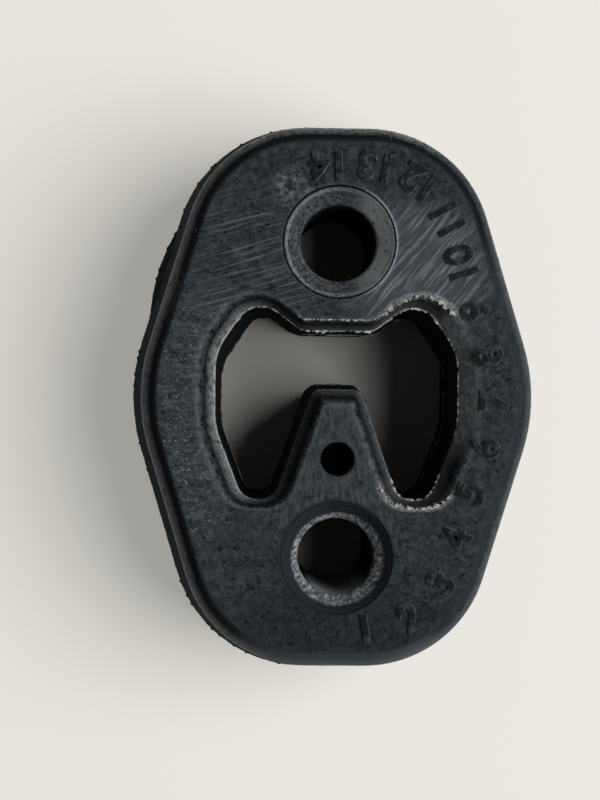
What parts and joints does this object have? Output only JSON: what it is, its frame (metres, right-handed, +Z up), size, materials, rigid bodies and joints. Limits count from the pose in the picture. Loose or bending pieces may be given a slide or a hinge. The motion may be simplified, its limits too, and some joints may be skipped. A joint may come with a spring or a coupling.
{
  "type": "exhaust hanger rubber",
  "caption": "Moulded rubber exhaust hanger: a long hexagonal block with a rod bore near each end and a window between them with a tongue standing into it.",
  "frame": {"origin": "on the surface that the hanger lies on, below the middle of its outline", "axes": "+Y along its length from the lower bore to the upper bore, +Z up through its thickness along the bores, +X across its width"},
  "size_m": [0.0606, 0.0818, 0.03],
  "materials": {
    "rubber": "weathered matt black, moulded"
  },
  "bodies": {
    "root": {"hanger_rubber": "rubber"}
  },
  "joints": []
}
